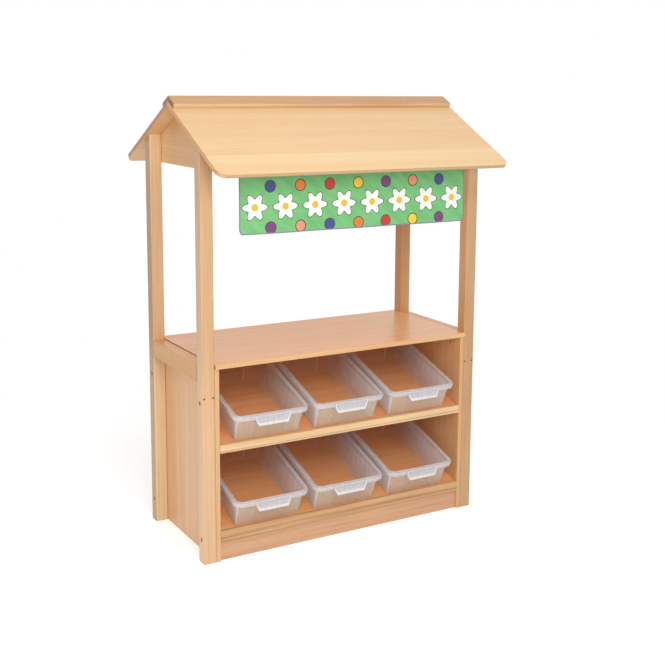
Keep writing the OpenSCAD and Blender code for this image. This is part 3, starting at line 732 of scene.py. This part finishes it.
print("six trays in place")


# Hanging sheet: a flat cut, pinned along its head and waved towards its lower edge
signLow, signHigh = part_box("sign_sheet")
sign = {
    "size": (signHigh.x - signLow.x, signHigh.z - signLow.z), "front": -0.326, "thickness": 0.0012,
    "wave": 0.005, "waves": 3, "curl": 0.0012, "curlAcross": 1.7, "curlUp": 0.4,
    "cornerRadius": 0.016, "flatHead": 0.045, "columns": 180, "rows": 48, "smoothAngle": 40,
}


def makeSignSheet():
    width, height = sign["size"]
    grid = {"x_subdivisions": sign["columns"], "y_subdivisions": sign["rows"]}
    sheet = startPiece("sign_sheet_print", bpy.ops.mesh.primitive_grid_add, **grid)
    bpy.ops.transform.rotate(value=math.radians(-90), orient_axis="X", center_override=(0, 0, 0))
    bpy.ops.transform.resize(value=(width, 1, height), center_override=(0, 0, 0))
    bpy.ops.transform.translate(value=(0, sign["front"], signLow.z + height / 2))
    bpy.ops.mesh.normals_make_consistent(inside=False)
    bpy.ops.object.mode_set(mode="OBJECT")
    radius = sign["cornerRadius"]
    gaps = []  # from each point to the sheet's edge
    for vertex in sheet.data.vertices:
        x, z = vertex.co.x, vertex.co.z
        share = x / width + 0.5
        up = (z - signLow.z) / height
        past = max(0.0, abs(x) - (width / 2 - radius))
        lift = radius - math.sqrt(max(0.0, radius * radius - past * past))
        down = max(0.0, 1 - up / (1 - sign["flatHead"] / height))
        swing = sign["wave"] * down * down * (1 - math.cos(2 * math.pi * sign["waves"] * share)) / 2
        turn = 2 * math.pi * (sign["curlAcross"] * share + sign["curlUp"] * up)
        vertex.co.y -= swing + abs(sign["curl"] * down * math.sin(turn))
        vertex.co.z = z + lift * (1 - 2 * up)
        aside, above = abs(x) - width / 2 + radius, abs(up - 0.5) * height - height / 2 + radius
        gaps.append(radius - math.hypot(max(aside, 0), max(above, 0)) - min(max(aside, above), 0))
    border = sheet.data.attributes.new("border", "FLOAT", "POINT")
    border.data.foreach_set("value", gaps)
    facing = sum(face.normal.y for face in sheet.data.polygons)
    if facing > 0:
        selectOnly(sheet)
        bpy.ops.object.mode_set(mode="EDIT")
        bpy.ops.mesh.select_all(action="SELECT")
        bpy.ops.mesh.flip_normals()
        bpy.ops.object.mode_set(mode="OBJECT")
    applyModifier(sheet, "SOLIDIFY", thickness=sign["thickness"], offset=-1.0)
    selectOnly(sheet)
    bpy.ops.object.shade_smooth_by_angle(angle=math.radians(sign["smoothAngle"]))
    return sheet


# Print of plain flowers between two rows of dots
signPrint = {
    "ground": (128, 200, 130), "groundDeep": (112, 186, 116), "outline": (38, 78, 52),
    "petal": (250, 250, 246), "back": (226, 228, 226), "edge": (132, 130, 148),
    "dots": [
        (240, 128, 44), (214, 52, 52), (246, 206, 60), (128, 62, 128), (240, 150, 120), (72, 74, 150),
    ],
    "cell": 0.1185, "middle": 1.291, "rows": 0.072, "petals": 6, "flower": 0.038, "scallop": 0.010,
    "heart": 0.0125, "heartTone": (246, 190, 60), "dot": 0.0185, "dotSpan": 0.43, "rowStep": 2.0,
    "line": 0.0035, "border": 0.0042, "soft": 0.0006, "faceSpan": (0.3, 0.6),
    "brushTurn": 0.9, "brushScale": (40.0, 10.0, 9.0), "brushRange": (0.35, 0.65),
    "gritScale": (700.0, 700.0, 700.0), "roughness": (0.34, 0.46),
    "bumpStrength": 0.15, "bumpHeight": 0.0001,
}


def makeSignPrint():
    look = signPrint
    inks = ("ground", "groundDeep", "outline", "petal", "heartTone", "back", "edge")
    tones = {ink: toLinear(*look[ink]) for ink in inks}
    material, tree, shader = newMaterial("sign_vinyl")
    place = addNode(tree, "ShaderNodeTexCoord").outputs
    axes = splitAxes(tree, place["Object"])
    across = math2(tree, "DIVIDE", axes["X"], look["cell"])
    high = math2(tree, "SUBTRACT", axes["Z"], look["middle"])

    def cellOf(value):
        index = math2(tree, "FLOOR", value)
        offset = math2(tree, "SUBTRACT", math2(tree, "SUBTRACT", value, index), 0.5)
        return index, math2(tree, "MULTIPLY", offset, look["cell"])

    def inside(distance, radius):
        beyond = math2(tree, "SUBTRACT", distance, radius)
        return mapRange(tree, beyond, -look["soft"], look["soft"], 1.0, 0.0)

    # Distance to the flower's scalloped edge
    flowerX = cellOf(across)[1]
    flowerReach = lengthOf(tree, flowerX, high)
    turn = math2(tree, "ARCTAN2", high, flowerX)
    ripple = math2(tree, "COSINE", math2(tree, "MULTIPLY", turn, look["petals"]))
    flowerEdge = math2(tree, "ADD", math2(tree, "MULTIPLY", ripple, look["scallop"]), look["flower"])
    flowerRest = math2(tree, "SUBTRACT", flowerReach, flowerEdge)

    # Dots take their colours in turn, the upper row a few steps on
    dotIndex, dotX = cellOf(math2(tree, "ADD", across, 0.5))
    dotHigh = math2(tree, "SUBTRACT", math2(tree, "ABSOLUTE", high), look["rows"])
    dotReach = lengthOf(tree, dotX, dotHigh)
    upper = math2(tree, "GREATER_THAN", high, 0.0)
    count = len(look["dots"])
    number = math2(tree, "ADD", dotIndex, math2(tree, "MULTIPLY", upper, look["rowStep"]))
    wrapped = math2(tree, "DIVIDE", math2(tree, "FLOORED_MODULO", number, float(count)), float(count))
    ramp = addNode(tree, "ShaderNodeValToRGB", {"Fac": math2(tree, "ADD", wrapped, 0.5 / count)})
    stops = ramp.color_ramp.elements
    ramp.color_ramp.interpolation = "CONSTANT"
    for index, tone in enumerate(look["dots"]):
        stop = stops[0] if index == 0 else stops.new(index / count)
        stop.color = toLinear(*tone)
    stops.remove(stops[-1])

    # Ground, then dots, flowers and the edge line
    inputs = {"Vector": place["Object"], "Rotation": (0, look["brushTurn"], 0)}
    brushed = addNode(tree, "ShaderNodeMapping", inputs).outputs["Vector"]
    mottle = noise(tree, stretch(tree, brushed, look["brushScale"]), detail=4.0, roughness=0.6)
    deep = mapRange(tree, mottle, *look["brushRange"])
    inked = mixColour(tree, deep, tones["ground"], tones["groundDeep"])
    kept = math2(tree, "LESS_THAN", math2(tree, "ABSOLUTE", axes["X"]), look["dotSpan"])
    dotLine = math2(tree, "MULTIPLY", kept, inside(dotReach, look["dot"] + look["line"]))
    inked = mixColour(tree, dotLine, inked, tones["outline"])
    dotFill = math2(tree, "MULTIPLY", kept, inside(dotReach, look["dot"]))
    inked = mixColour(tree, dotFill, inked, ramp.outputs["Color"])
    inked = mixColour(tree, inside(flowerRest, look["line"]), inked, tones["outline"])
    inked = mixColour(tree, inside(flowerRest, 0.0), inked, tones["petal"])
    inked = mixColour(tree, inside(flowerReach, look["heart"]), inked, tones["heartTone"])
    rim = addNode(tree, "ShaderNodeAttribute", attribute_name="border").outputs["Fac"]
    inked = mixColour(tree, inside(rim, look["border"]), inked, tones["edge"])
    facing = splitAxes(tree, place["Normal"])
    backFace = mapRange(tree, facing["Y"], *look["faceSpan"])
    printed = mixColour(tree, backFace, inked, tones["back"])
    sideFace = mapRange(tree, math2(tree, "ABSOLUTE", facing["Y"]), *look["faceSpan"], 1.0, 0.0)
    finished = mixColour(tree, sideFace, printed, tones["edge"])
    tree.links.new(finished, shader.inputs["Base Color"])
    grit = noise(tree, stretch(tree, place["Object"], look["gritScale"]), detail=1.0)
    tree.links.new(mapRange(tree, grit, *noiseSpan, *look["roughness"]), shader.inputs["Roughness"])
    addBump(tree, shader, grit, look["bumpStrength"], look["bumpHeight"])
    return material


sheet = makeSignSheet()
sheet.data.materials.append(makeSignPrint())
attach(sheet, "stall")
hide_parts("sign_sheet")
print("sheet hung on its batten")


# Floor, white surround and lamps
floorPlan = {"size": 40, "height": -0.0004, "grey": 0.84, "lift": 0.45, "fade": (1.0, 2.4)}
lampPlan = {
    "key": {"place": (-1.1, -3.5, 2.55), "aim": (-0.1, -0.2, 0.7), "size": 2.0, "power": 65},
    "top": {"place": (-0.3, -1.8, 4.4), "aim": (0, -0.1, 1.4), "size": 2.4, "power": 19},
    "side": {"place": (-2.0, -0.5, 0.4), "aim": (-0.6, 0, 0.4), "size": 1.0, "power": 4.5},
}
worldStrength = 0.60


# One for rays that show the surround itself, seen straight, in gloss or through plastic
def seenRays(tree):
    rays = addNode(tree, "ShaderNodeLightPath").outputs
    seen = math2(tree, "MAXIMUM", rays["Is Camera Ray"], rays["Is Glossy Ray"])
    return math2(tree, "MAXIMUM", seen, rays["Is Transmission Ray"])


def makeFloor():
    bpy.ops.object.select_all(action="DESELECT")
    bpy.ops.mesh.primitive_plane_add(size=floorPlan["size"], location=(0, 0, floorPlan["height"]))
    floor = bpy.context.object
    floor.name = "floor"
    material, tree = newMaterial("floor_white")[:2]
    tree.nodes.clear()
    seen = seenRays(tree)
    grey = floorPlan["grey"]
    matt = addNode(tree, "ShaderNodeBsdfDiffuse", {"Color": (grey, grey, grey, 1)})
    glow = math2(tree, "MULTIPLY", seen, floorPlan["lift"])
    lift = addNode(tree, "ShaderNodeEmission", {"Strength": glow})
    white = addNode(tree, "ShaderNodeEmission", {"Strength": 1.0})
    near = addNode(tree, "ShaderNodeAddShader", {0: matt.outputs[0], 1: lift.outputs[0]})
    far = addNode(tree, "ShaderNodeMixShader", {0: seen, 1: matt.outputs[0], 2: white.outputs[0]})
    place = addNode(tree, "ShaderNodeTexCoord").outputs
    reach = addNode(tree, "ShaderNodeVectorMath", {0: place["Object"]}, operation="LENGTH")
    fade = mapRange(tree, reach.outputs["Value"], *floorPlan["fade"], smooth=True)
    blend = addNode(tree, "ShaderNodeMixShader", {0: fade, 1: near.outputs[0], 2: far.outputs[0]})
    out = addNode(tree, "ShaderNodeOutputMaterial")
    tree.links.new(blend.outputs[0], out.inputs["Surface"])
    floor.data.materials.append(material)


def makeLight():
    for name, lamp in lampPlan.items():
        data = bpy.data.lights.new(name, "AREA")
        data.shape = "SQUARE"
        data.size = lamp["size"]
        data.energy = lamp["power"]
        light = bpy.data.objects.new(name, data)
        bpy.context.collection.objects.link(light)
        light.location = lamp["place"]
        aim = Vector(lamp["aim"]) - Vector(lamp["place"])
        light.rotation_euler = aim.to_track_quat("-Z", "Y").to_euler()
    world = bpy.data.worlds.new("studio")
    bpy.context.scene.world = world
    world.use_nodes = True
    tree = world.node_tree
    tree.nodes.clear()
    strength = mapRange(tree, seenRays(tree), 0.0, 1.0, worldStrength, 1.0)
    sky = addNode(tree, "ShaderNodeBackground", {"Color": (1, 1, 1, 1), "Strength": strength})
    out = addNode(tree, "ShaderNodeOutputWorld")
    tree.links.new(sky.outputs[0], out.inputs["Surface"])


# Camera as fitted to the posts, counter and roof of the photograph, with focal and centre in its pixels
view = {
    "place": (-2.0970, -3.8158, 1.7255), "yaw": 0.5464, "pitch": -0.1622, "roll": 0.0107,
    "focal": 1125.64, "centre": (363.36, 265.21), "frame": 665, "sensor": 36,
}


def makeCamera():
    data = bpy.data.cameras.new("camera")
    camera = bpy.data.objects.new("camera", data)
    bpy.context.collection.objects.link(camera)
    ahead = Vector((math.sin(view["yaw"]), math.cos(view["yaw"]), 0))
    right = Vector((math.cos(view["yaw"]), -math.sin(view["yaw"]), 0))
    upright = Vector((0, 0, 1))
    forward = ahead * math.cos(view["pitch"]) + upright * math.sin(view["pitch"])
    upward = upright * math.cos(view["pitch"]) - ahead * math.sin(view["pitch"])
    side = right * math.cos(view["roll"]) + upward * math.sin(view["roll"])
    head = upward * math.cos(view["roll"]) - right * math.sin(view["roll"])
    turned = Matrix((side, head, -forward)).transposed().to_4x4()
    camera.matrix_world = Matrix.Translation(view["place"]) @ turned
    size = view["frame"]
    data.sensor_width = view["sensor"]
    data.lens = view["focal"] / size * data.sensor_width
    data.shift_x = (size / 2 - view["centre"][0]) / size
    data.shift_y = (view["centre"][1] - size / 2) / size
    bpy.context.scene.camera = camera


makeFloor()
makeLight()
makeCamera()
bpy.context.scene.view_settings.view_transform = "Standard"
print("stage, lamps and camera set")
